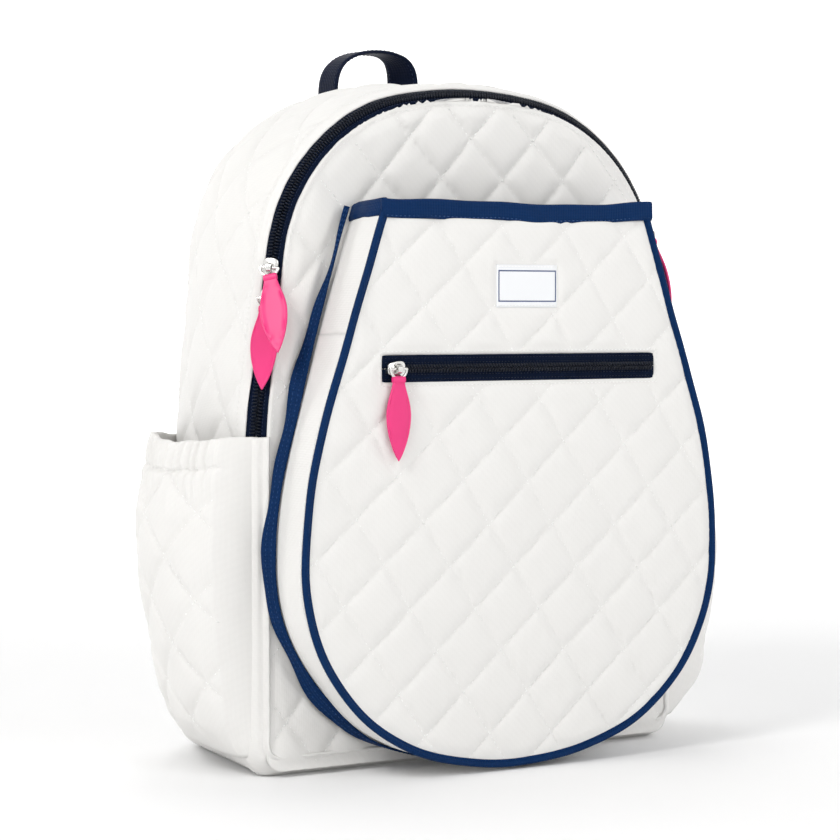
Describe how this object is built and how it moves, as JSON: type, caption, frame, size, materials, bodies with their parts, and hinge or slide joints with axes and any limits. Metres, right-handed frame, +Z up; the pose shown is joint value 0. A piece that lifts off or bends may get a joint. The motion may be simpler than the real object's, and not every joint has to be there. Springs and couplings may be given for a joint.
{
  "type": "backpack",
  "caption": "Quilted fabric backpack with an arched front zip, a teardrop racket cover with its own zip and front pocket, open side pockets, top handle and padded straps.",
  "frame": {"origin": "middle of the flat underside, on the floor", "axes": "+Z up, front (racket cover) towards -Y, +X to the right as seen from the front"},
  "size_m": [0.4266, 0.2599, 0.491],
  "materials": {
    "quilted_white": "satin quilted weave",
    "navy_tape": "matt woven",
    "zip_coil": "satin",
    "blue_binding": "ribbed grosgrain",
    "hardware": "polished",
    "pink_pull": "satin",
    "buckle": "satin",
    "board": "matt",
    "lining": "matt",
    "label": "satin",
    "navy_webbing": "satin woven"
  },
  "bodies": {
    "bag": {"back_panel": "quilted_white", "base_board": "board", "bottom_panel": "quilted_white", "cover_back_binding": "blue_binding", "cover_front_corner": "quilted_white", "cover_gusset_left": "quilted_white", "cover_gusset_right": "quilted_white", "cover_piping_fixed": "blue_binding", "cover_zip_coil_back": "zip_coil", "cover_zip_tape_back": "navy_tape", "front_edge_trim": "quilted_white", "front_panel": "quilted_white", "laptop_sleeve": "lining", "main_zip_coil_body": "zip_coil", "main_zip_coil_front": "zip_coil", "main_zip_tape_body": "navy_tape", "main_zip_tape_front": "navy_tape", "mouth_binding_sides": "blue_binding", "pocket_hem_left": "quilted_white", "pocket_hem_right": "quilted_white", "side_gusset_left": "quilted_white", "side_gusset_right": "quilted_white", "side_pocket_left": "quilted_white", "side_pocket_right": "quilted_white", "strap_anchor_left": "quilted_white", "strap_anchor_right": "quilted_white", "top_gusset": "quilted_white", "webbing_anchor_left": "navy_webbing", "webbing_anchor_right": "navy_webbing"},
    "flap": {"front_flap": "quilted_white", "main_zip_tape_flap": "navy_tape", "main_zip_coil_flap": "zip_coil"},
    "slider_upper": {"main_slider_upper": "hardware"},
    "pull_upper": {"main_pull_upper": "pink_pull", "main_pull_ring_upper": "hardware"},
    "slider_lower": {"main_slider_lower": "hardware"},
    "pull_lower": {"main_pull_lower": "pink_pull", "main_pull_ring_lower": "hardware"},
    "slider_pocket": {"pocket_slider": "hardware"},
    "pull_pocket": {"pocket_pull": "pink_pull", "pocket_pull_ring": "hardware"},
    "door": {"cover_front_panel": "quilted_white", "cover_piping_door": "blue_binding", "cover_zip_tape_front": "navy_tape", "cover_zip_coil_front": "zip_coil", "mouth_binding_front": "blue_binding", "label_patch": "label", "pocket_zip_tapes": "navy_tape", "pocket_zip_coils": "zip_coil", "pocket_pouch": "lining"},
    "slider_cover": {"cover_slider": "hardware"},
    "pull_cover": {"cover_pull": "pink_pull", "cover_pull_ring": "hardware"},
    "handle": {"top_handle": "navy_webbing"},
    "strap_left": {"shoulder_strap_left": "quilted_white", "ladder_lock_left": "buckle", "strap_webbing_left": "navy_webbing"},
    "strap_right": {"shoulder_strap_right": "quilted_white", "ladder_lock_right": "buckle", "strap_webbing_right": "navy_webbing"}
  },
  "joints": [
    {"name": "main_flap_fold", "type": "hinge", "parent": "bag", "child": "flap", "pos_m": [0, -0.075, 0.385], "axis": [1, 0, 0], "range_deg": [0, 85]},
    {"name": "slide_main_upper", "type": "hinge", "parent": "bag", "child": "slider_upper", "pos_m": [-0.0306, -0.0685, 0.3242], "axis": [0, 1, 0], "range_deg": [0, 62]},
    {"name": "lift_pull_upper", "type": "hinge", "parent": "slider_upper", "child": "pull_upper", "pos_m": [-0.15809, -0.0726, 0.33247], "axis": [-0.7025, 0.7071, 0.0808], "range_deg": [0, 90]},
    {"name": "slide_main_lower", "type": "slide", "parent": "bag", "child": "slider_lower", "axis": [-0.1142, 0, -0.9935], "range_m": [0, 0.055]},
    {"name": "swing_pull_lower", "type": "hinge", "parent": "slider_lower", "child": "pull_lower", "pos_m": [-0.16039, -0.0726, 0.31247], "axis": [-0.7025, -0.7071, 0.0808], "range_deg": [-16, 8]},
    {"name": "slide_pocket_zip", "type": "slide", "parent": "door", "child": "slider_pocket", "axis": [1, 0, 0], "range_m": [0, 0.195]},
    {"name": "lift_pull_pocket", "type": "hinge", "parent": "slider_pocket", "child": "pull_pocket", "pos_m": [-0.097, -0.133, 0.2673], "axis": [-1, 0, 0], "range_deg": [0, 110]},
    {"name": "cover_door", "type": "hinge", "parent": "bag", "child": "door", "pos_m": [-0.005, -0.13, 0.00625], "axis": [0.3989, 0, -0.917], "range_deg": [0, 40]},
    {"name": "slide_cover_zip", "type": "slide", "parent": "bag", "child": "slider_cover", "axis": [0.3173, 0, -0.9483], "range_m": [0, 0.1]},
    {"name": "lift_pull_cover", "type": "hinge", "parent": "slider_cover", "child": "pull_cover", "pos_m": [0.11399, -0.1173, 0.35834], "axis": [0, -1, 0], "range_deg": [0, 110]},
    {"name": "handle_flop", "type": "hinge", "parent": "bag", "child": "handle", "pos_m": [0, 0.062, 0.47], "axis": [1, 0, 0], "range_deg": [-60, 60]},
    {"name": "strap_left_swing", "type": "hinge", "parent": "bag", "child": "strap_left", "pos_m": [-0.075, 0.083, 0.06], "axis": [0, 0.0473, 0.9989], "range_deg": [-15, 15]},
    {"name": "strap_right_swing", "type": "hinge", "parent": "bag", "child": "strap_right", "pos_m": [0.075, 0.083, 0.06], "axis": [0, 0.0473, 0.9989], "range_deg": [-15, 15]}
  ]
}
